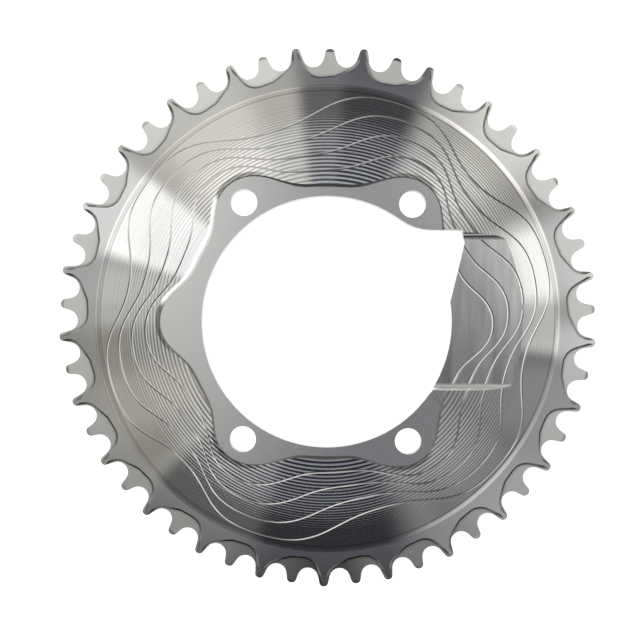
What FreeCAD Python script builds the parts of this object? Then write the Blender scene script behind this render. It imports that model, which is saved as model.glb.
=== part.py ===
import FreeCAD, Part
import math
import os

# One-piece narrow-wide road chainring, milled and turned from aluminium plate.
# Frame: origin on the ring axis at the plane of the inboard tooth faces,
# +Z outboard, +X along the crank arm. Lengths in mm, angles in degrees.

# Chain and teeth
chain_pitch = 12.7
tooth_count = 50
seat_radius = 4.05
seat_drop = 0.33
flank_angle = 12.5
narrow_tip_rise = 2.62
wide_tip_rise = 3.2
wide_tooth_thickness = 3.8
narrow_tooth_thickness = 2.1
wide_bevel_reach = 3.0
wide_bevel_drop = 1.25
narrow_bevel_reach = 1.55
narrow_bevel_drop = 0.7
crown_flats = 5
seat_flats = 8
corner_flats = 4

# Recesses for the inner link plates, one on each narrow tooth and face.
# Corners are measured across from the tooth centreline and below the root.
link_steep_across = 7.8
link_steep_depth = 5.05
link_steep_radius = 7.0
link_steep_lean = 27.9
link_middle_across = -2.1
link_middle_depth = 4.05
link_gentle_across = -10.85
link_gentle_depth = 0.25
link_gentle_radius = 6.0
link_gentle_lean = 14.5
link_wall_run = 0.9

# Turned dome between the tooth band and the central opening
band_inner_radius = 90.2
blend_radius = 6.5
dome_radius = 350.0

# Back of the web: a cone between the tooth band's land and the seat of the tabs
land_inner_radius = 89.0
seat_outer_radius = 71.5

# Fixing tabs for the spider
bolt_circle_diameter = 110.0
bolt_angle = 54.75
bolt_hole_radius = 5.05
hole_rim_width = 2.25
tab_back_height = 5.0
tab_thickness = 3.8
tab_wall_draft = 0.25

# Wavy wall round the tabs, and the engraved lines that repeat it outwards
wave_crest_radius = 63.5
wave_short_depth = 9.9
wave_long_depth = 12.4
wave_short_narrowing = 0.32
wave_long_narrowing = 0.42
wave_narrowing_fade = 0.16
wave_crest_flatness = 0.16
wave_points_per_lobe = 12
line_count = 4
line_spacing = 5.83
line_turn = 4.25
groove_half_width = 0.42
groove_depth = 0.33

# Milled relief under the crank arm
crank_outer_radius = 75.0
crank_low_side = -24.9
crank_high_side = 34.5
crank_fillet = 2.4
crank_inner_reach = 30.0

# Where the tab recesses stop beside the crank arm, as stepped terraces
low_pivot_x = 45.1
low_pivot_y = -31.8
low_terrace_x = 39.6
low_terrace_y = -25.8
low_terrace_run = 2.2
high_pivot_x = 43.7
high_pivot_y = 43.35
high_terrace_x = 44.3
high_terrace_y = 35.0
high_terrace_run = 0.9
terrace_count = 4

# Clearance corner of the opening beside the crank arm
corner_low_x = 46.9
corner_low_y = 8.2
corner_side_x = 52.0
corner_side_y = 31.0
corner_top_x = 50.5
corner_top_y = 35.4
corner_radius = 1.2
corner_blend_radius = 20.0

# How far cutters reach past the faces that they cut, the distance within which
# heights count as equal, the closeness that a cutter's seams are mended to, and
# the step in degrees that gives a line's direction
overshoot = 2.0
same_height = 1e-6
mend_precision = 1e-6
mend_limit = 1e-4
direction_step = 0.05

# Turns in degrees
full_turn = 360.0
half_turn = 180.0
quarter_turn = 90.0

# Sizes that follow
tooth_step = full_turn / tooth_count
pitch_radius = chain_pitch / 2 / math.sin(math.radians(tooth_step / 2))
seat_centre_radius = pitch_radius - seat_drop
root_radius = seat_centre_radius - seat_radius
wide_tip_radius = pitch_radius + wide_tip_rise
narrow_tip_radius = pitch_radius + narrow_tip_rise
narrow_front = (wide_tooth_thickness + narrow_tooth_thickness) / 2
blank_radius = wide_tip_radius + overshoot
bolt_circle_radius = bolt_circle_diameter / 2
opening_radius = bolt_circle_radius - bolt_hole_radius - hole_rim_width
tab_front_height = tab_back_height + tab_thickness
blend_centre_height = wide_tooth_thickness + blend_radius
dome_centre_height = blend_centre_height - math.sqrt(
    (dome_radius + blend_radius) ** 2 - band_inner_radius ** 2)
lobe_angles = [0.0, bolt_angle, half_turn - bolt_angle,
               half_turn, half_turn + bolt_angle, full_turn - bolt_angle]
axis_start = FreeCAD.Vector(0, 0, 0)
axis_direction = FreeCAD.Vector(0, 0, 1)


def point(x, y, z=0.0):
    return FreeCAD.Vector(x, y, z)


def polar(radius, degrees, z=0.0):
    angle = math.radians(degrees)
    return point(radius * math.cos(angle), radius * math.sin(angle), z)


def turned(shape, degrees):
    copy = shape.copy()
    copy.rotate(axis_start, axis_direction, degrees)
    return copy


def dome_height(radius):
    return dome_centre_height + math.sqrt(dome_radius ** 2 - radius ** 2)


def dome_top():
    return dome_height(opening_radius) + overshoot


def crank_floor_height():
    return dome_height(crank_outer_radius)


def flat_shares(count):
    # Shares from 1 down to -1 at the ends of so many flats along an arc
    return [1 - 2 * i / count for i in range(count + 1)]


def corner_points(before, corner, after, radius):
    # Ends of the flats that round a corner of an outline
    to_before = (before - corner).normalize()
    to_after = (after - corner).normalize()
    half_opening = to_before.getAngle(to_after) / 2
    inward = (to_before + to_after).normalize()
    centre = corner + inward * (radius / math.sin(half_opening))
    side = math.copysign(1, to_before.cross(to_after).z)
    reach = side * (quarter_turn - math.degrees(half_opening))
    return [centre + FreeCAD.Rotation(axis_direction, reach * share) * (inward * -radius)
            for share in flat_shares(corner_flats)]


def closed_outline(points):
    return Part.makePolygon(points + points[:1])


def rounded_outline(corners):
    # Closed outline through (point, radius) corners
    points = []
    for i, (corner, radius) in enumerate(corners):
        before = corners[i - 1][0]
        after = corners[(i + 1) % len(corners)][0]
        if radius == 0:
            points.append(corner)
        else:
            points += corner_points(before, corner, after, radius)
    return closed_outline(points)


def prism(wire, bottom, top):
    face = Part.Face(wire)
    face.translate(point(0, 0, bottom))
    return face.extrude(point(0, 0, top - bottom))


def dome_arc(inner_radius):
    # The dome's line from the opening out to where the blend begins
    reach = math.hypot(band_inner_radius, blend_centre_height - dome_centre_height)
    edge_radius = band_inner_radius * dome_radius / reach
    middle_radius = (inner_radius + edge_radius) / 2
    start = point(inner_radius, 0, dome_height(inner_radius))
    middle = point(middle_radius, 0, dome_height(middle_radius))
    end = point(edge_radius, 0, dome_height(edge_radius))
    return Part.Arc(start, middle, end), end


def blend_arc(start):
    centre = point(band_inner_radius, 0, blend_centre_height)
    end = point(band_inner_radius, 0, wide_tooth_thickness)
    middle = (start + end) / 2
    middle = centre + (middle - centre).normalize() * blend_radius
    return Part.Arc(start, middle, end), end


def turned_blank():
    # The ring as it leaves the lathe, before the teeth are cut
    dome, dome_end = dome_arc(opening_radius)
    blend, blend_end = blend_arc(dome_end)
    corners = [blend_end,
               point(blank_radius, 0, wide_tooth_thickness),
               point(blank_radius, 0, 0),
               point(land_inner_radius, 0, 0),
               point(seat_outer_radius, 0, tab_back_height),
               point(opening_radius, 0, tab_back_height),
               point(opening_radius, 0, dome_height(opening_radius))]
    edges = [dome.toShape(), blend.toShape()]
    edges += [Part.LineSegment(a, b).toShape() for a, b in zip(corners, corners[1:])]
    section = Part.Face(Part.Wire(Part.sortEdges(edges)[0]))
    return section.revolve(axis_start, axis_direction, full_turn)


def flank_offset():
    # Distance of the straight flank from the ring axis, along its normal
    half = math.radians(tooth_step / 2)
    lean = math.radians(flank_angle)
    return seat_centre_radius * math.sin(half + lean) - seat_radius


def crown_corners(tip_radius):
    # Flats of the crown between the flanks, for a tooth on +X
    lean = math.sin(math.radians(flank_angle))
    crown_radius = (flank_offset() - lean * tip_radius) / (1 - lean)
    centre = point(tip_radius - crown_radius, 0)
    reach = quarter_turn - flank_angle
    return [centre + polar(crown_radius, -reach * share) for share in flat_shares(crown_flats)]


def seat_corners():
    # Flats of the roller seat that follows a tooth on +X, between two flanks
    centre = polar(seat_centre_radius, tooth_step / 2)
    middle = half_turn + tooth_step / 2
    reach = quarter_turn - flank_angle - tooth_step / 2
    return [centre + polar(seat_radius, middle + reach * share)
            for share in flat_shares(seat_flats)]


def is_wide(index):
    return index % 2 == 1


def tooth_outline():
    corners = []
    for index in range(tooth_count):
        turn = FreeCAD.Rotation(axis_direction, tooth_step * (index + 0.5))
        tip_radius = wide_tip_radius if is_wide(index) else narrow_tip_radius
        corners += [turn * corner for corner in crown_corners(tip_radius) + seat_corners()]
    return prism(closed_outline(corners), -overshoot, dome_top())


def link_recess():
    # Recess on +X down to the narrow tooth's face, with its sloped wall
    top = blank_radius + overshoot
    steep = point(root_radius - link_steep_depth, link_steep_across)
    middle = point(root_radius - link_middle_depth, link_middle_across)
    gentle = point(root_radius - link_gentle_depth, link_gentle_across)
    steep_lean = math.tan(math.radians(link_steep_lean))
    gentle_lean = math.tan(math.radians(link_gentle_lean))
    steep_top = point(top, steep.y + (top - steep.x) * steep_lean)
    gentle_top = point(top, gentle.y - (top - gentle.x) * gentle_lean)
    outline = rounded_outline([(steep_top, 0), (steep, link_steep_radius),
                               (middle, 0),
                               (gentle, link_gentle_radius), (gentle_top, 0)])
    block = prism(outline, narrow_front, narrow_front + overshoot)
    return block.makeChamfer(link_wall_run, wall_feet(block, narrow_front, top))


def wall_feet(block, height, limit):
    # Bottom edges of a cutter, apart from the one that lies past the teeth
    feet = []
    for edge in block.Edges:
        box = edge.BoundBox
        is_foot = abs(box.ZMax - height) < same_height
        is_outside = abs(box.XMin - limit) < same_height
        if is_foot and not is_outside:
            feet.append(edge)
    return feet


def tip_bevel(tip_radius, reach, drop, height):
    # Wedge on +X that thins the outer face of a tooth towards its tip
    start = tip_radius - reach
    end = tip_radius + overshoot
    fall = drop / reach * (end - start)
    corners = [point(start, -chain_pitch / 2, height),
               point(end, -chain_pitch / 2, height - fall),
               point(end, -chain_pitch / 2, height + overshoot),
               point(start, -chain_pitch / 2, height + overshoot)]
    return Part.Face(closed_outline(corners)).extrude(point(0, chain_pitch, 0))


def on_other_face(shape):
    middle = point(0, 0, wide_tooth_thickness / 2)
    return shape.mirror(middle, axis_direction)


def tooth_cutters():
    # Both faces of every tooth: bevelled wide ones, recessed and bevelled narrow ones
    wide = [tip_bevel(wide_tip_radius, wide_bevel_reach, wide_bevel_drop, wide_tooth_thickness)]
    narrow = [link_recess(), tip_bevel(narrow_tip_radius, narrow_bevel_reach,
                                       narrow_bevel_drop, narrow_front)]
    cutters = []
    for index in range(tooth_count):
        front = wide if is_wide(index) else narrow
        angle = tooth_step * (index + 0.5)
        for shape in front:
            cutters.append(turned(shape, angle))
            cutters.append(turned(on_other_face(shape), angle))
    return cutters


def wave_radius(degrees, line=0):
    # Six-lobed wave: crests over the tabs and arm, shallow and deep troughs between.
    # Its crests are narrow at the tabs and wider with each line further out
    angle = degrees % full_turn
    crests = lobe_angles + [full_turn]
    for start, end in zip(crests, crests[1:]):
        if angle <= end:
            break
    gap = end - start
    share = (angle - start) / gap
    is_long = gap > full_turn / len(lobe_angles)
    depth = wave_long_depth if is_long else wave_short_depth
    narrowing = wave_long_narrowing if is_long else wave_short_narrowing
    narrowing -= wave_narrowing_fade * line
    turn = 2 * math.pi * share
    phase = turn + narrowing * math.sin(turn) - wave_crest_flatness * math.sin(2 * turn)
    return wave_crest_radius - depth * (1 - math.cos(phase)) / 2


def lobe_directions():
    # Angles that divide each lobe evenly, so that every crest has a point
    angles = []
    for start, end in zip(lobe_angles, lobe_angles[1:] + [full_turn]):
        step = (end - start) / wave_points_per_lobe
        angles += [start + step * i for i in range(wave_points_per_lobe)]
    return angles


def closed_curve(points):
    curve = Part.BSplineCurve()
    curve.interpolate(points, PeriodicFlag=True)
    return curve.toShape()


def closed_solid(faces):
    solid = Part.Solid(Part.Shell(faces))
    solid.fix(mend_precision, mend_precision, mend_limit)
    return solid if solid.Volume > 0 else solid.reversed()


def tab_recess():
    # Everything above the tab faces, inside the wavy wall
    bottom = []
    top = []
    rise = dome_top() - tab_front_height
    for degrees in lobe_directions():
        radius = wave_radius(degrees)
        bottom.append(polar(radius, degrees, tab_front_height))
        top.append(polar(radius + tab_wall_draft * rise, degrees, dome_top()))
    low = closed_curve(bottom)
    high = closed_curve(top)
    wall = Part.makeRuledSurface(low, high)
    return closed_solid([wall, Part.Face(Part.Wire(low)), Part.Face(Part.Wire(high))])


def terrace(level):
    # Metal kept on the crank side of the tab recesses, one step of the terraces
    step = (dome_height(opening_radius) - tab_front_height) / terrace_count
    bottom = tab_front_height + step * level
    top = dome_top() if level == terrace_count - 1 else bottom + step
    far = blank_radius
    outline = closed_outline([
        point(low_pivot_x, low_pivot_y),
        point(low_terrace_x + low_terrace_run * level, low_terrace_y),
        point(0, 0),
        point(high_terrace_x + high_terrace_run * level, high_terrace_y),
        point(high_pivot_x, high_pivot_y),
        point(far, high_pivot_y + far - high_pivot_x),
        point(far, low_pivot_y - far + low_pivot_x)])
    return prism(outline, bottom, top)


def crank_relief(growth=0.0):
    # Flat-floored relief with filleted sides, enlarged by growth for engraving
    low = crank_low_side - growth
    high = crank_high_side + growth
    floor = crank_floor_height() - growth
    block = Part.makeBox(blank_radius, high - low, dome_top() - floor,
                         point(crank_inner_reach, low, floor))
    feet = [edge for edge in block.Edges
            if edge.BoundBox.ZMax < floor + same_height and edge.BoundBox.YLength < same_height]
    return block.makeFillet(crank_fillet, feet)


def corner_blend():
    # Ends of the flats that carry the corner's edge over into the round opening
    height = corner_top_y + corner_blend_radius
    across = math.sqrt((opening_radius + corner_blend_radius) ** 2 - height ** 2)
    reach = quarter_turn - math.degrees(math.atan2(height, across))
    return [point(across, height) + polar(corner_blend_radius, -quarter_turn - reach * share)
            for share in [i / corner_flats for i in range(corner_flats + 1)]]


def opening_corner():
    corners = [(point(0, corner_low_y), 0),
               (point(corner_low_x, corner_low_y), 0),
               (point(corner_side_x, corner_side_y), corner_radius),
               (point(corner_top_x, corner_top_y), corner_radius)]
    corners += [(place, 0) for place in corner_blend()]
    corners.append((point(0, corner_low_y + overshoot), 0))
    return prism(rounded_outline(corners), -overshoot, dome_top())


def bolt_holes():
    angles = [angle for angle in lobe_angles if angle % half_turn != 0]
    height = dome_top() + overshoot
    return [Part.makeCylinder(bolt_hole_radius, height,
                              polar(bolt_circle_radius, angle, -overshoot))
            for angle in angles]


def line_point(line, degrees, across, z_of):
    # A point beside an engraved line, at right angles to it in plan
    turn = line_turn * line
    next_degrees = degrees + direction_step
    offset = line_spacing * line
    here = polar(wave_radius(degrees - turn, line) + offset, degrees)
    ahead = polar(wave_radius(next_degrees - turn, line) + offset, next_degrees)
    along = (ahead - here).normalize()
    x = here.x + along.y * across
    y = here.y - along.x * across
    return point(x, y, z_of(math.hypot(x, y)))


def engraving(line, surface):
    # Closed V-section cutter along one line, standing as far out as it goes in
    def base(radius):
        return surface(radius) - groove_depth

    def crown(radius):
        return surface(radius) + groove_depth

    reach = 2 * groove_half_width
    turn = line_turn * line
    angles = [angle + turn for angle in lobe_directions()]
    foot = closed_curve([line_point(line, a, 0, base) for a in angles])
    left = closed_curve([line_point(line, a, -reach, crown) for a in angles])
    right = closed_curve([line_point(line, a, reach, crown) for a in angles])
    faces = [Part.makeRuledSurface(foot, left), Part.makeRuledSurface(left, right),
             Part.makeRuledSurface(right, foot)]
    return closed_solid(faces)


def line_band(line):
    # Upright band of one engraved line, for where it crosses the relief's sides
    def flat(radius):
        return crank_floor_height() - overshoot

    turn = line_turn * line
    angles = [angle + turn for angle in lobe_directions()]
    outer = closed_curve([line_point(line, a, groove_half_width, flat) for a in angles])
    inner = closed_curve([line_point(line, a, -groove_half_width, flat) for a in angles])
    ring = Part.Face([Part.Wire(outer), Part.Wire(inner)])
    return ring.extrude(point(0, 0, dome_top() - crank_floor_height() + overshoot))


def relief_engravings():
    # The lines cross the floor as V grooves and its sides as narrow notches
    def floor(radius):
        return crank_floor_height()

    flat_low = crank_low_side + crank_fillet
    flat_high = crank_high_side - crank_fillet
    floor_zone = Part.makeBox(blank_radius, flat_high - flat_low, dome_top(),
                              point(crank_inner_reach, flat_low, 0))
    grown = crank_relief(groove_depth)
    cutters = []
    for line in range(line_count):
        cutters.append(engraving(line, floor).common(floor_zone))
        notch = line_band(line).common(grown)
        cutters.append(notch.cut(floor_zone))
    return cutters


def chainring():
    body = turned_blank().common(tooth_outline())
    body = body.cut(tooth_cutters())
    recess = tab_recess().cut([terrace(level) for level in range(terrace_count)])
    lines = [engraving(line, dome_height) for line in range(1, line_count + 1)]
    body = body.cut(lines)
    body = body.cut([crank_relief()])
    body = body.cut(relief_engravings())
    body = body.cut([recess, opening_corner()] + bolt_holes())
    return body.Solids[0] if len(body.Solids) == 1 else body


def main():
    os.makedirs("parts", exist_ok=True)
    body = chainring()
    body.exportStep("parts/chainring.step")
    print("solids", len(body.Solids), "valid", body.isValid(), "volume", round(body.Volume, 1))
    print("box", body.BoundBox)


main()
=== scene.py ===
import math

import bpy
from mathutils import Euler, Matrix

bl_info = {
    "name": "Machined Chainring",
    "version": (1, 0, 0),
    "blender": (4, 5, 0),
    "location": "View3D > Sidebar > Chainring",
    "description": "Finishes a narrow-wide road chainring and lights it in a studio",
    "category": "Object",
}

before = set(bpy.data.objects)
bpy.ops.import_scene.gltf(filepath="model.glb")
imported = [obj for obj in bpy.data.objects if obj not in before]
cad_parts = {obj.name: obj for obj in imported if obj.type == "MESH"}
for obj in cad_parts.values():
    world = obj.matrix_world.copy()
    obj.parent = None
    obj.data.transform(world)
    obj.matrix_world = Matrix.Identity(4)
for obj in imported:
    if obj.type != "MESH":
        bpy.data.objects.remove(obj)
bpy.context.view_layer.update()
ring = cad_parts["chainring"]

MM = 0.001

# The turned dome: a sphere's cap that ends in a concave blend at the tooth band
DOME_RADIUS = 350.0 * MM
BLEND_RADIUS = 6.5 * MM
BAND_RADIUS = 90.2 * MM
BAND_HEIGHT = 3.8 * MM
DOME_CENTRE = BAND_HEIGHT + BLEND_RADIUS - math.sqrt(
    (DOME_RADIUS + BLEND_RADIUS) ** 2 - BAND_RADIUS ** 2)

# Heights of the tabs, of the recesses' floors and of the relief under the crank arm,
# which lies where the dome's surface is at its radius
TAB_HEIGHT = 8.8 * MM
RECESS_HEIGHT = 2.95 * MM
RELIEF_RADIUS = 75.0 * MM
RELIEF_HEIGHT = DOME_CENTRE + math.sqrt(DOME_RADIUS ** 2 - RELIEF_RADIUS ** 2)

# The wavy wall: crests over the tabs and the arm, shallow and deep troughs between,
# as distance of the crests, then depth and narrowing of both kinds of trough
WAVE_CREST = 64.1 * MM
TAB_ANGLE = math.radians(54.75)
SHALLOW_TROUGH = (9.9 * MM, 0.32)
DEEP_TROUGH = (12.4 * MM, 0.42)
CREST_FLATNESS = 0.16

# Soft borders on the ring, as where each begins and where it is complete. The painted
# corner shade's is by how much is shut in within its reach, and the diagonal's by how
# far a place lies from both diagonals
DOME_END = (88.0 * MM, 88.4 * MM)
RECESS_START = (90.0 * MM, 91.0 * MM)
TIP_START = (99.0 * MM, 100.0 * MM)
CREST_START = (58.0 * MM, 63.0 * MM)
ARM_START = (38.0 * MM, 42.0 * MM)
RIGHT_START = (0.0, 20.0 * MM)
LEFT_END = (-30.0 * MM, 0.0)
TOP_START = (20.0 * MM, 50.0 * MM)
TAB_WALL_START = (TAB_HEIGHT - 0.3 * MM, TAB_HEIGHT)
CORNER_SHADE_START = (0.1, 0.28)
CORNER_SHADE_REACH = 1.5 * MM
DIAGONAL_END = (0.35, 0.85)

# How far from its exact height a face still counts: for the dome where that begins to
# fade and where it ends, and for the flats its reach and soft edge
DOME_SKIN = (0.03 * MM, 0.08 * MM)
FLAT_SKIN = (0.04 * MM, 0.05 * MM)

# Upright part of the normal, by which flat, steep and upright faces are told apart
FLAT = (0.9, 0.96)
NOT_STEEP = (0.75, 0.9)
NOT_UPRIGHT = (0.5, 0.6)

# Lean towards the top from which the lower side fillet counts
LOW_SILL_LEAN = (0.15, 0.4)

# Narrow strips, as middle, reach and soft edge, where highlights and shade are painted:
# the flanks of the grooves by their lean, the relief's upper and lower side fillets by
# their place across the arm and the upper one also by its lean, the edge above the wavy
# wall, the concave blend with its painted highlight, and the circles beside it, one of
# painted shade and one of painted highlight
FLANK = (0.78, 0.08, 0.04)
HIGH_SILL = (34.0 * MM, 3.0 * MM, 1.0 * MM)
HIGH_SILL_LEAN = (-0.72, 0.07, 0.08)
LOW_SILL = (-24.0 * MM, 4.0 * MM, 1.0 * MM)
WALL_EDGE = (0.3 * MM, 0.4 * MM, 0.7 * MM)
BLEND_HIGHLIGHT_STRIP = (88.8 * MM, 0.6 * MM, 0.4 * MM)
PAINTED_SHADE_CIRCLE = (87.7 * MM, 0.15 * MM, 0.25 * MM)
PAINTED_HIGHLIGHT_CIRCLE = (89.4 * MM, 0.15 * MM, 0.25 * MM)

# Sectors of the ring where light and shade are painted, as direction from its middle and
# the cosines between which the sector sets in: the lit stretch of the wavy wall with its
# painted highlight, both ends that face the dark of the room, whose recess floors get
# painted shade, the terraces with a painted highlight and the recesses with painted
# shade at the lower end, and the band's brightest side, which painted shade darkens
LIT_WALL = (math.radians(153.0), 0.925, 0.945)
DARK_TOP = (math.radians(82.0), 0.93, 0.985)
DARK_BOTTOM = (math.radians(262.0), 0.93, 0.985)
LOW_TERRACES = (math.radians(262.0), 0.85, 0.98)
LOW_RECESSES = (math.radians(284.0), 0.88, 0.98)
BRIGHT_BAND = (math.radians(17.0), 0.94, 0.98)

# Painted light and shade on the flats: how their brightness changes over the ring, per
# metre to the right, per metre to the top, and in the middle
RELIEF_GAIN = (0.0, 6.0, -0.1)
RECESS_GAIN = (1.0, 3.0, 0.3)
BAND_GAIN = (3.2, 0.0, 0.04)

# The terraces: where the cutter's passes start in millimetres, where they fade, the
# flat share of each pass outside and how much more it is inside, and its soft edge
PASSES_START = 54.9
TERRACE_FADE = (66.0 * MM, 86.0 * MM)
OUTER_FLAT_SHARE = 0.1
INNER_FLAT_SHARE = 0.42
TERRACE_SOFTNESS = 0.2

# Painted light that treads gain, everywhere, at the ring's top and bottom, in the streaks
# and at the lower end, painted shade as light that risers lose, everywhere and in the
# streaks, and how strong both are in the streaks
TREAD_GAIN = 0.1
TOP_AND_BOTTOM_GAIN = 0.95
STREAK_GAIN = 0.25
LOW_END_GAIN = 0.7
RISER_LOSS = 0.2
STREAK_LOSS = 0.38
STREAK_STRENGTH = 0.75

# Fine lines per metre that the lathe leaves in the surface and in its shade, with how
# strong they are, and the milling cutter's strips per metre across the relief and
# along it, painted as lighter and darker bands of reflection, with their contrast
SURFACE_LINES = (2500.0, 0.15)
SHADE_LINES = (1500.0, 0.3)
PAINTED_CUTTER_STRIPS = (260.0, 30.0, 0.8)

# Light round the table as bright windows: middle, half width and soft edge in degrees,
# brightness, and how warm the light is
WINDOWS = (
    (9.5, 16.0, 4.0, 0.85, 0.15),
    (18.0, 10.5, 6.0, 0.95, 0.0),
    (46.5, 20.0, 8.0, 0.74, 0.45),
    (48.0, 9.0, 14.0, 0.5, 0.45),
    (80.0, 17.0, 6.0, 0.04, 0.0),
    (93.0, 6.0, 4.0, 0.12, 0.3),
    (120.0, 22.0, 5.0, 0.78, 0.65),
    (122.0, 12.0, 10.0, 0.38, 0.45),
    (152.0, 10.5, 4.0, 1.85, 0.0),
    (170.5, 8.0, 11.0, 0.88, 0.1),
    (200.0, 22.5, 5.0, 0.42, 0.9),
    (202.0, 8.0, 10.0, 0.2, 1.0),
    (236.0, 16.0, 5.0, 0.13, 0.0),
    (323.0, 30.0, 14.0, 0.38, 0.0),
    (316.0, 10.0, 10.0, 0.14, 0.0),
)

# Colour of warm light, what it loses with its warmth, and colour of cool light
WARM_TINT = (1.0, 0.998, 0.975)
WARM_LOSS = (0.0, 0.045, 0.17)
COOL_TINT = (0.94, 0.97, 1.1)

# The panel overhead: its brightness, and by the horizontal part of the direction where
# its bright left half begins, where the ring round it begins and where the windows do
PANEL_LEVEL = 0.3
PANEL_TILT = 0.7
PANEL_LEAST = 0.15
LEFT_HALF_END = (-0.12, -0.03)
LEFT_HALF_LEVEL = 0.72
PANEL_RING_START = (0.165, 0.19)
PANEL_RING_LEVEL = 0.28
WINDOWS_START = (0.215, 0.25)

TABLE_SIZE = 4.0
TABLE_DROP = 0.2 * MM
TABLE_GLOW = 0.78

CAMERA_PLACE = (0.72 * MM, -2.27 * MM)
CAMERA_TURN = (-0.0724, 0.0105, 0.0114)
CAMERA_SHIFT = 0.1065
NEAREST_SEEN = 10.0 * MM


class RingFinish(bpy.types.PropertyGroup):
    metal_color: bpy.props.FloatVectorProperty(
        name="Metal", description="Colour of the bare aluminium",
        subtype="COLOR", size=3, min=0, max=1, default=(0.52, 0.52, 0.52))
    turned_roughness: bpy.props.FloatProperty(
        name="Turned roughness", description="Gloss of the turned dome",
        subtype="FACTOR", min=0, max=1, default=0.13)
    pass_density: bpy.props.FloatProperty(
        name="Pass density", description="Cutter passes per millimetre at the inner wall",
        min=0, max=4, default=0.61)
    pass_growth: bpy.props.FloatProperty(
        name="Pass growth", description="How much denser the passes get, per millimetre",
        min=0, max=0.1, default=0.00873)
    milled_roughness: bpy.props.FloatProperty(
        name="Milled roughness", description="Gloss of the flat milled faces",
        subtype="FACTOR", min=0, max=1, default=0.24)
    recess_roughness: bpy.props.FloatProperty(
        name="Recess roughness", description="Gloss of the link recesses' floors",
        subtype="FACTOR", min=0, max=1, default=0.5)


class StudioSettings(bpy.types.PropertyGroup):
    camera_height: bpy.props.FloatProperty(
        name="Camera height", description="Camera height over the resting plane",
        subtype="DISTANCE", unit="LENGTH", default=0.320)
    lens: bpy.props.FloatProperty(
        name="Lens", description="Focal length of the camera",
        subtype="DISTANCE_CAMERA", default=45.9)
    table_color: bpy.props.FloatVectorProperty(
        name="Table", description="Colour of the table under the ring",
        subtype="COLOR", size=3, min=0, max=1, default=(0.9, 0.9, 0.9))
    dim_level: bpy.props.FloatProperty(
        name="Dim level", description="Brightness of the room between the windows",
        min=0, max=2, default=0.05)


class Value:
    """A socket that can be written in sums, so that node trees read as maths."""

    def __init__(self, tree, socket):
        self.tree = tree
        self.socket = socket

    def math(self, operation, *others):
        values = [self] + list(others)
        return self.tree.node("ShaderNodeMath", {"operation": operation}, values)

    def __add__(self, other):
        return self.math("ADD", other)

    def __radd__(self, other):
        return self.math("ADD", other)

    def __sub__(self, other):
        return self.math("SUBTRACT", other)

    def __rsub__(self, other):
        return self.tree.node("ShaderNodeMath", {"operation": "SUBTRACT"}, [other, self])

    def __mul__(self, other):
        return self.math("MULTIPLY", other)

    def __rmul__(self, other):
        return self.math("MULTIPLY", other)

    def __truediv__(self, other):
        return self.math("DIVIDE", other)

    def __rtruediv__(self, other):
        return self.tree.node("ShaderNodeMath", {"operation": "DIVIDE"}, [other, self])


class Tree:
    """A node tree that adds a node, with its settings and inputs, in one call."""

    def __init__(self, owner):
        owner.use_nodes = True
        self.nodes = owner.node_tree.nodes
        self.links = owner.node_tree.links
        self.nodes.clear()

    def node(self, kind, settings=None, inputs=None, output=0):
        made = self.nodes.new(kind)
        for name, setting in (settings or {}).items():
            setattr(made, name, setting)
        pairs = inputs.items() if isinstance(inputs, dict) else enumerate(inputs or [])
        for key, value in pairs:
            if isinstance(value, Value):
                self.links.new(value.socket, made.inputs[key])
            else:
                made.inputs[key].default_value = value
        return Value(self, made.outputs[output])

    def outputs(self, kind, inputs, names):
        """All the named outputs of one new node."""
        made = self.node(kind, None, inputs).socket.node
        return [Value(self, made.outputs[name]) for name in names]

    def finish(self, kind, result):
        """Links the result to a new output node of that kind."""
        output = self.nodes.new(kind)
        self.links.new(result.socket, output.inputs["Surface"])

    def vector(self, x, y, z):
        return self.node("ShaderNodeCombineXYZ", None, [x, y, z])

    def step(self, value, low, high):
        """0 below low and 1 above high, smooth between."""
        settings = {"interpolation_type": "SMOOTHSTEP"}
        return self.node("ShaderNodeMapRange", settings, {
            "Value": value, "From Min": low, "From Max": high})

    def near(self, value, place, reach, soft):
        """1 where value lies within reach of place and 0 away from it."""
        return 1 - self.step((value - place).math("ABSOLUTE"), reach, reach + soft)

    def scaled(self, color, factor):
        """Colour times a factor, which may be above 1."""
        return self.node("ShaderNodeVectorMath", {"operation": "SCALE"},
                         {0: tuple(color), 3: factor})

    def blend(self, share, a, b):
        """Number a where share is 0 and b where it is 1."""
        return self.node("ShaderNodeMix", {"data_type": "FLOAT"}, {0: share, 2: a, 3: b})

    def blend_vectors(self, share, a, b):
        """Vector a where share is 0 and b where it is 1."""
        return self.node("ShaderNodeMix", {"data_type": "VECTOR"}, {0: share, 4: a, 5: b}, 1)


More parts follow.
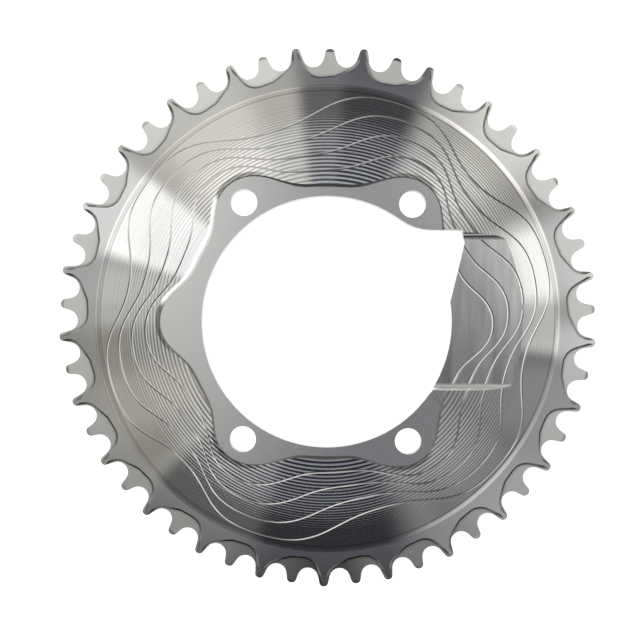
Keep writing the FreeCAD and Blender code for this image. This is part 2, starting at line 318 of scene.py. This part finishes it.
class RingFaces:
    """Place on the ring, and masks that are 1 on one kind of its faces and 0 elsewhere."""

    def __init__(self, tree):
        self.tree = tree
        place = tree.node("ShaderNodeTexCoord", None, None, "Object")
        self.x, self.y, self.z = tree.outputs("ShaderNodeSeparateXYZ", [place], "XYZ")
        self.radius = (self.x * self.x + self.y * self.y).math("SQRT")
        normal = tree.node("ShaderNodeNewGeometry", None, None, "Normal")
        self.across, self.along, self.upright = tree.outputs(
            "ShaderNodeSeparateXYZ", [normal], "XYZ")
        self.find_regions()
        self.find_flats()
        self.find_walls()
        self.find_flanks()
        self.find_sills()
        self.find_wall_edge()

    def toward(self, sector):
        """1 on the part of the ring that lies in the sector."""
        angle, low, high = sector
        share = (self.x * math.cos(angle) + self.y * math.sin(angle)) / self.radius
        return self.tree.step(share, low, high)

    def even_gain(self, change):
        """Gain that changes evenly over the ring."""
        to_right, to_top, middle = change
        return self.x * to_right + self.y * to_top + middle

    def find_regions(self):
        """Regions of the ring seen from above, and where the light comes in streaks."""
        tree = self.tree
        self.inside = 1 - tree.step(self.radius, *DOME_END)
        self.beside_arm = tree.step(self.x, *ARM_START) * self.inside
        self.upper_left = tree.step(self.y, *TOP_START) * (1 - tree.step(self.x, *LEFT_END))
        self.side_on = (self.x * self.x - self.y * self.y) / (self.radius * self.radius)
        diagonal = 1 - tree.step(self.side_on.math("ABSOLUTE"), *DIAGONAL_END)
        self.streaks = diagonal * tree.step(self.x, *RIGHT_START)

    def find_flats(self):
        """The dome, the relief, the recesses' floors with the painted shade in their corners,
        and the band.
        """
        tree = self.tree
        depth = dome_height(self.radius) - self.z
        self.on_dome = (1 - tree.step(depth.math("ABSOLUTE"), *DOME_SKIN)) * self.inside
        is_flat = tree.step(self.upright, *FLAT)
        at_relief = tree.near(self.z, RELIEF_HEIGHT, *FLAT_SKIN)
        self.in_relief = at_relief * (1 - self.on_dome) * is_flat
        at_recess = tree.near(self.z, RECESS_HEIGHT, *FLAT_SKIN)
        self.in_recess = at_recess * is_flat * tree.step(self.radius, *RECESS_START)
        # How shut in a recess floor is near its walls, for the painted shade in its corners
        openness = tree.node("ShaderNodeAmbientOcclusion", {"samples": 6, "only_local": True},
                             {"Distance": CORNER_SHADE_REACH}, "AO")
        self.painted_corner_shade = tree.step(1 - openness, *CORNER_SHADE_START) * self.in_recess
        outside = (1 - self.inside) * (1 - self.in_recess)
        self.band = outside * tree.step(self.upright, *NOT_STEEP)

    def find_walls(self):
        """Upright faces: the recesses' walls with their painted shade, the tooth tips and the
        wavy wall.
        """
        tree = self.tree
        level = self.upright.math("ABSOLUTE")
        wall = 1 - tree.step(level, *NOT_STEEP)
        # Painted shade on the recesses' walls, darker where they face towards the bottom
        self.painted_link_wall_shade = wall * (1 - self.inside) * (0.7 - self.along * 0.2)
        self.tip = wall * tree.step(self.radius, *TIP_START)
        inner_wall = (1 - tree.step(level, *NOT_UPRIGHT)) * self.inside
        self.tab_wall = inner_wall * tree.step(self.z, *TAB_WALL_START)

    def find_flanks(self):
        """The grooves' flanks, and how much painted glint or painted shade each gets by how
        it faces the light or turns from it.
        """
        lean = (self.across * self.across + self.along * self.along).math("SQRT")
        lean = lean.math("MAXIMUM", 0.001)
        outward = (self.across * self.x + self.along * self.y) / (lean * self.radius)
        self.flank = self.tree.near(self.upright, *FLANK) * self.inside
        glint = outward * self.side_on * self.flank
        self.flank_painted_glint = glint.math("MAXIMUM", 0.0)
        self.flank_painted_shade = glint.math("MINIMUM", 0.0)

    def find_sills(self):
        """The relief's side fillets, below and above the crank arm."""
        tree = self.tree
        low_lean = tree.step(self.along, *LOW_SILL_LEAN) * self.beside_arm
        self.low_sill = low_lean * tree.near(self.y, *LOW_SILL) * (1 - self.on_dome)
        high_lean = tree.near(self.along, *HIGH_SILL_LEAN) * self.beside_arm
        self.high_sill = high_lean * tree.near(self.y, *HIGH_SILL)

    def find_wall_edge(self):
        """The wavy wall with its upper edge: a painted highlight at the left, painted shade
        along the crests.
        """
        tree = self.tree
        edge = tree.near(past_wall(self), *WALL_EDGE) * self.on_dome * (1 - self.beside_arm)
        lit_side = self.toward(LIT_WALL)
        self.wall_painted_highlight = (self.tab_wall + edge) * lit_side
        self.edge_painted_shade = edge * (1 - lit_side) * tree.step(self.radius, *CREST_START)


def dome_height(radius):
    """Height of the dome's surface at a distance from its axis."""
    return (DOME_RADIUS ** 2 - radius * radius).math("SQRT") + DOME_CENTRE


def past_wall(faces):
    """Distance outwards from the upper edge of the wavy wall."""
    tree = faces.tree
    angle = faces.y.math("ABSOLUTE").math("ARCTAN2", faces.x.math("ABSOLUTE"))
    is_deep = angle.math("GREATER_THAN", TAB_ANGLE)
    shallow_turn = angle * (2 * math.pi / TAB_ANGLE)
    deep_turn = (angle - TAB_ANGLE) * (math.pi / (math.pi / 2 - TAB_ANGLE))
    turn = tree.blend(is_deep, shallow_turn, deep_turn)
    depth = tree.blend(is_deep, SHALLOW_TROUGH[0], DEEP_TROUGH[0])
    narrowing = tree.blend(is_deep, SHALLOW_TROUGH[1], DEEP_TROUGH[1])
    phase = turn + narrowing * turn.math("SINE") - (turn * 2.0).math("SINE") * CREST_FLATNESS
    return faces.radius - WAVE_CREST + depth * (1 - phase.math("COSINE")) * 0.5


def turned_normal(faces, slope):
    """Normal of a turned surface that falls by slope for each step outwards."""
    leaning = faces.tree.vector(faces.x / faces.radius * slope,
                                faces.y / faces.radius * slope, 1.0)
    return faces.tree.node("ShaderNodeVectorMath", {"operation": "NORMALIZE"}, [leaning])


def hairlines(faces, lines):
    """Uneven fine lines that a lathe leaves round the ring, around 0."""
    lines_per_metre, strength = lines
    fine = faces.tree.node("ShaderNodeTexNoise", {"noise_dimensions": "1D"}, {
        "W": faces.radius * lines_per_metre, "Scale": 1.0, "Detail": 2.0})
    return (fine - 0.5) * strength


def painted_cutter_bands(faces):
    """Painted lighter and darker strips, reflections of the waves that the milling cutter
    leaves along the relief.
    """
    over_relief, along_relief, contrast = PAINTED_CUTTER_STRIPS
    place = faces.tree.vector(faces.x * over_relief, faces.y * along_relief, 0.0)
    strips = faces.tree.node("ShaderNodeTexNoise", None, {
        "Vector": place, "Scale": 1.0, "Detail": 1.0})
    return (strips - 0.5) * contrast


def cut_terraces(faces, settings):
    """Normal of the narrow terraces that the cutter leaves, and their painted light and shade
    as a gain in colour.
    """
    tree, radius, y, streaks = faces.tree, faces.radius, faces.y, faces.streaks
    out = radius / MM - PASSES_START
    passes = (out * (settings.pass_density + out * settings.pass_growth)).math("FRACT")
    place = (passes * 2.0 - 1.0).math("ABSOLUTE")
    inner = 1 - tree.step(radius, *TERRACE_FADE)
    flat_share = inner * INNER_FLAT_SHARE + OUTER_FLAT_SHARE
    riser = tree.step(place, flat_share - TERRACE_SOFTNESS, flat_share + TERRACE_SOFTNESS)
    dome_slope = radius / (DOME_RADIUS ** 2 - radius * radius).math("SQRT")
    slope = dome_slope / (1 - flat_share) * riser + hairlines(faces, SURFACE_LINES)

    # Treads get painted highlights, most at the top and the bottom of the ring, and risers
    # painted shade
    top_and_bottom = y * y / (radius * radius)
    tread_gain = top_and_bottom * TOP_AND_BOTTOM_GAIN + TREAD_GAIN
    tread_gain = tread_gain + streaks * STREAK_GAIN
    tread_gain = tread_gain + faces.toward(LOW_TERRACES) * LOW_END_GAIN
    riser_loss = streaks * STREAK_LOSS + RISER_LOSS
    strength = inner.math("MAXIMUM", streaks * STREAK_STRENGTH)
    gain = 1 + strength * ((1 - riser) * tread_gain - riser * riser_loss)
    return turned_normal(faces, slope), gain + hairlines(faces, SHADE_LINES)


def blend_normal(faces):
    """Normal of the concave blend between the dome and the band."""
    left = (BAND_RADIUS - faces.radius).math("MAXIMUM", 0.0)
    slope = left / (BLEND_RADIUS ** 2 - left * left).math("SQRT")
    return turned_normal(faces, slope)


def metal_gain(faces, terrace_gain):
    """Brightness of the metal as a share of its plain colour, with light and shade painted in
    by place.
    """
    tree, streaks = faces.tree, faces.streaks
    gain = tree.blend(faces.on_dome, 1.0, terrace_gain)
    # Painted shade on the flanks that turn from the light, less at the upper left
    gain = gain * (1 + faces.flank_painted_shade * (0.8 - faces.upper_left * 0.5))
    # Painted shade on the recesses' walls, the wavy wall, the crests' edge, the flanks in the
    # streaks, the tooth tips and one circle; a negative loss is a painted highlight, on the
    # other circle and on the blend in the streaks
    losses = (
        (faces.painted_link_wall_shade, 1.0),
        (faces.tab_wall * (1 - faces.low_sill), 0.75),
        (faces.edge_painted_shade, 0.6),
        (faces.flank * streaks, 0.3),
        (faces.tip, 0.5),
        (tree.near(faces.radius, *PAINTED_SHADE_CIRCLE), 0.35),
        (tree.near(faces.radius, *PAINTED_HIGHLIGHT_CIRCLE), -0.3),
        (tree.near(faces.radius, *BLEND_HIGHLIGHT_STRIP) * streaks, -0.45),
    )
    for place, loss in losses:
        gain = gain * (1 - place * loss)
    # Painted light and shade on the flats: the relief brighter towards the top, with its
    # painted cutter strips, the recess floors brighter to the right and the top and darker at
    # both ends and at the lower end, and the band brighter to the right and darker on its
    # brightest side
    relief_gain = painted_cutter_bands(faces) + faces.even_gain(RELIEF_GAIN)
    dark_ends = faces.toward(DARK_TOP) + faces.toward(DARK_BOTTOM)
    recess_gain = faces.even_gain(RECESS_GAIN) - dark_ends * 0.45
    recess_gain = recess_gain - faces.toward(LOW_RECESSES) * 0.35
    band_gain = faces.even_gain(BAND_GAIN) - faces.toward(BRIGHT_BAND) * 0.6
    gain = gain + faces.in_relief * relief_gain + faces.in_recess * recess_gain
    gain = gain + faces.band * band_gain
    # Painted shade in the recesses' corners, near their walls
    return (gain * (1 - faces.painted_corner_shade * 0.92)).math("MAXIMUM", 0.02)


def painted_metal_glow(faces):
    """Painted highlights as emission, for light that narrow edges would catch, which the soft
    windows alone would leave dim.
    """
    tree = faces.tree
    # Painted glints on the grooves' flanks, painted highlights on the lit stretch of the wavy
    # wall and on the relief's side fillets, and a faint painted glow on the wavy wall
    glint_level = tree.blend(tree.step(faces.side_on, -0.2, 0.3), 0.24, 0.55)
    glint_level = glint_level * (1 + faces.beside_arm * 0.5) * (1 - faces.streaks * 0.7)
    glow = faces.flank_painted_glint * glint_level
    glow = glow + faces.flank * (1 + faces.flank_painted_shade) * faces.upper_left * 0.22
    glow = glow + faces.wall_painted_highlight * 0.6 + faces.tab_wall * 0.04
    glow = glow + (faces.low_sill + faces.high_sill) * 0.3
    return tree.scaled((1.0, 0.99, 0.96), glow)


def finish_metal(settings):
    """Turned metal, whose marks run round the ring, and milled satin metal, with light and
    shade painted into the colour and highlights painted as emission.
    """
    material = bpy.data.materials.new("machined_aluminium")
    tree = Tree(material)
    faces = RingFaces(tree)
    terrace_normal, terrace_gain = cut_terraces(faces, settings)
    normal = tree.blend_vectors(faces.on_dome, blend_normal(faces), terrace_normal)
    color = tree.scaled(settings.metal_color, metal_gain(faces, terrace_gain))
    glow = painted_metal_glow(faces)
    turned = tree.node("ShaderNodeBsdfPrincipled", None, {
        "Base Color": color, "Metallic": 1.0, "Roughness": settings.turned_roughness,
        "Anisotropic": 1.0, "Anisotropic Rotation": 0.25, "Normal": normal,
        "Emission Color": glow, "Emission Strength": 1.0})
    gloss = tree.blend(faces.in_recess, settings.milled_roughness, settings.recess_roughness)
    milled = tree.node("ShaderNodeBsdfPrincipled", None, {
        "Base Color": color, "Metallic": 1.0, "Roughness": gloss,
        "Emission Color": glow, "Emission Strength": 1.0})
    is_turned = faces.on_dome.math("MAXIMUM", faces.band)
    surface = tree.node("ShaderNodeMixShader", None, [is_turned, milled, turned])
    tree.finish("ShaderNodeOutputMaterial", surface)
    return material


def window_light(tree, x, y, across):
    """Brightness of the windows in a horizontal direction, and its warm part."""
    total = warm = 0.0
    for middle, half_width, soft, level, warmth in WINDOWS:
        angle = math.radians(middle)
        facing = (x * math.cos(angle) + y * math.sin(angle)) / across
        away = facing.math("MINIMUM", 1.0).math("ARCCOSINE")
        edge = math.radians(half_width - soft / 2)
        glow = (1 - tree.step(away, edge, edge + math.radians(soft))) * level
        total = total + glow
        warm = warm + glow * warmth
    return total, warm


def light_studio(settings):
    """A soft panel overhead, brighter on the left, and windows round the table."""
    world = bpy.data.worlds.new("studio")
    bpy.context.scene.world = world
    tree = Tree(world)
    direction = tree.node("ShaderNodeTexCoord", None, None, "Generated")
    x, y, z = tree.outputs("ShaderNodeSeparateXYZ", [direction], "XYZ")
    across = (x * x + y * y).math("SQRT").math("MAXIMUM", 0.001)
    windows, warm_windows = window_light(tree, x, y, across)
    left = 1 - tree.step(x, *LEFT_HALF_END)
    panel = PANEL_LEVEL - x.math("MAXIMUM", 0.0) + y * PANEL_TILT + left * LEFT_HALF_LEVEL
    panel = panel + tree.step(across, *PANEL_RING_START) * PANEL_RING_LEVEL
    is_window = tree.step(across, *WINDOWS_START)
    colors = []
    for warm, loss, cool in zip(WARM_TINT, WARM_LOSS, COOL_TINT):
        side = windows * warm - warm_windows * loss + settings.dim_level * cool
        above = panel.math("MAXIMUM", PANEL_LEAST) * (left * (warm - cool) + cool)
        colors.append(tree.blend(is_window, above, side))
    light = tree.node("ShaderNodeBackground", None, {
        "Color": tree.node("ShaderNodeCombineColor", None, colors), "Strength": 1.0})
    tree.finish("ShaderNodeOutputWorld", light)


def lay_table(settings):
    """A matt table under the ring, which the camera and reflections see as white."""
    bpy.ops.mesh.primitive_plane_add(size=TABLE_SIZE, location=(0, 0, -TABLE_DROP))
    table = bpy.context.object
    table.name = "table"
    material = bpy.data.materials.new("table_white")
    tree = Tree(material)
    matt = tree.node("ShaderNodeBsdfDiffuse", None, {"Color": (*settings.table_color, 1.0)})
    glow = tree.node("ShaderNodeEmission", None, {
        "Color": (1.0, 1.0, 1.0, 1.0), "Strength": TABLE_GLOW})
    camera_ray, glossy_ray, transmission_ray = tree.outputs(
        "ShaderNodeLightPath", None,
        ("Is Camera Ray", "Is Glossy Ray", "Is Transmission Ray"))
    seen = (camera_ray + glossy_ray + transmission_ray).math("MINIMUM", 1.0)
    both = tree.node("ShaderNodeAddShader", None, [matt, glow])
    surface = tree.node("ShaderNodeMixShader", None, [seen, matt, both])
    tree.finish("ShaderNodeOutputMaterial", surface)
    table.data.materials.append(material)


def place_camera(settings):
    """A camera that looks down on the ring."""
    data = bpy.data.cameras.new("camera")
    data.lens = settings.lens
    data.sensor_width = 36.0
    data.shift_y = CAMERA_SHIFT
    data.clip_start = NEAREST_SEEN
    camera = bpy.data.objects.new("camera", data)
    bpy.context.scene.collection.objects.link(camera)
    camera.location = (*CAMERA_PLACE, settings.camera_height)
    camera.rotation_euler = Euler(CAMERA_TURN)
    bpy.context.scene.camera = camera


class CHAINRING_OT_finish(bpy.types.Operator):
    """Gives the ring its turned and milled aluminium"""
    bl_idname = "chainring.finish"
    bl_label = "Finish Ring"

    def execute(self, context):
        ring.data.materials.clear()
        ring.data.materials.append(finish_metal(context.scene.ring_finish))
        return {"FINISHED"}


class CHAINRING_OT_stage(bpy.types.Operator):
    """Sets the table, the studio light and the camera"""
    bl_idname = "chainring.stage"
    bl_label = "Set Stage"

    def execute(self, context):
        settings = context.scene.studio_settings
        light_studio(settings)
        lay_table(settings)
        place_camera(settings)
        context.scene.view_settings.view_transform = "Standard"
        return {"FINISHED"}


class CHAINRING_PT_sidebar(bpy.types.Panel):
    bl_label = "Chainring"
    bl_idname = "CHAINRING_PT_sidebar"
    bl_space_type = "VIEW_3D"
    bl_region_type = "UI"
    bl_category = "Chainring"

    def draw(self, context):
        column = self.layout.column()
        for name in ("metal_color", "turned_roughness", "milled_roughness",
                     "recess_roughness", "pass_density", "pass_growth"):
            column.prop(context.scene.ring_finish, name)
        column.operator(CHAINRING_OT_finish.bl_idname)
        for name in ("camera_height", "lens", "table_color", "dim_level"):
            column.prop(context.scene.studio_settings, name)
        column.operator(CHAINRING_OT_stage.bl_idname)


CLASSES = (RingFinish, StudioSettings, CHAINRING_OT_finish, CHAINRING_OT_stage,
           CHAINRING_PT_sidebar)


def register():
    for cls in CLASSES:
        bpy.utils.register_class(cls)
    bpy.types.Scene.ring_finish = bpy.props.PointerProperty(type=RingFinish)
    bpy.types.Scene.studio_settings = bpy.props.PointerProperty(type=StudioSettings)


def unregister():
    del bpy.types.Scene.studio_settings
    del bpy.types.Scene.ring_finish
    for cls in reversed(CLASSES):
        bpy.utils.unregister_class(cls)


def main():
    register()
    bpy.ops.chainring.finish()
    bpy.ops.chainring.stage()


if __name__ == "__main__":
    main()
